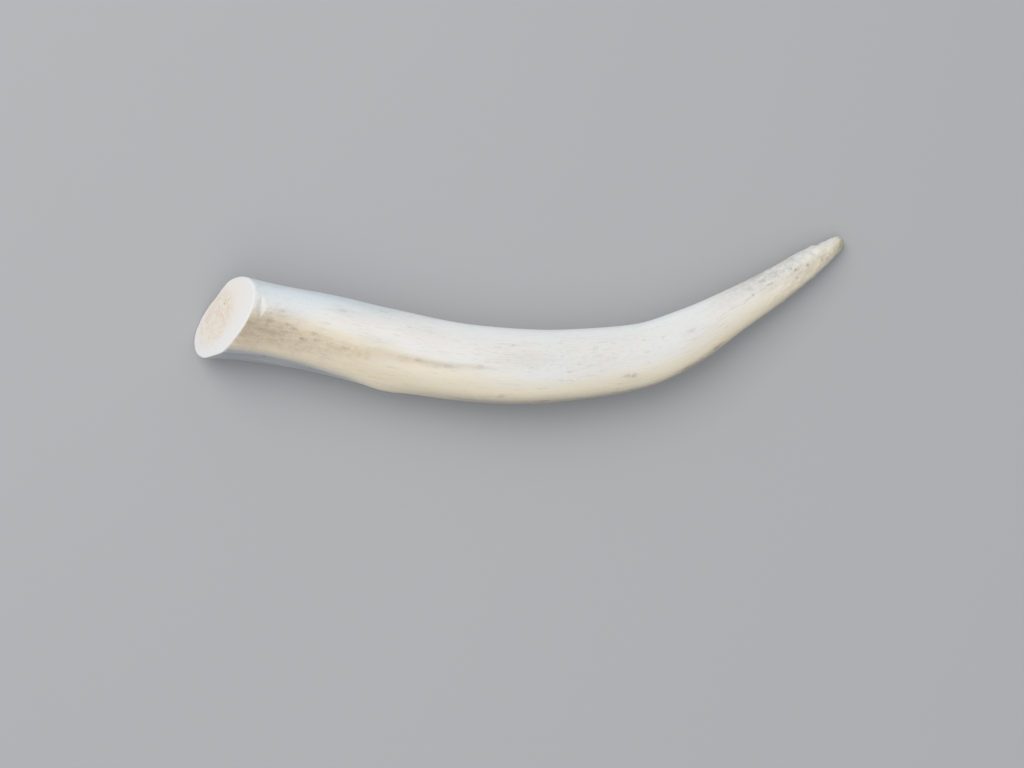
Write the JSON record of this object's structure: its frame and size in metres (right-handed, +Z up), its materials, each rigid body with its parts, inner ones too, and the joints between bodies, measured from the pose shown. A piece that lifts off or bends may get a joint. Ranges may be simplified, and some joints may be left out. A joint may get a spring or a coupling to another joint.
{
  "type": "deer antler tine",
  "caption": "Smooth, pale, curved antler tine that tapers to a blunt tip, sawn off at a slant across its thick end and lying on its side.",
  "frame": {"origin": "on the surface that the tine lies on, under the middle of its bounding box", "axes": "+X along the tine's longest extent, from the sawn end to the tip; +Y towards the side that the tip bends to; +Z up, through the thickness of the tine as it lies"},
  "size_m": [0.189, 0.0498, 0.0223],
  "materials": {
    "antler_bone": "smooth, weathered antler with a dull sheen, off-white with cream and tan stains; sawn end matt and porous"
  },
  "bodies": {
    "root": {"antler": "antler_bone"}
  },
  "joints": []
}
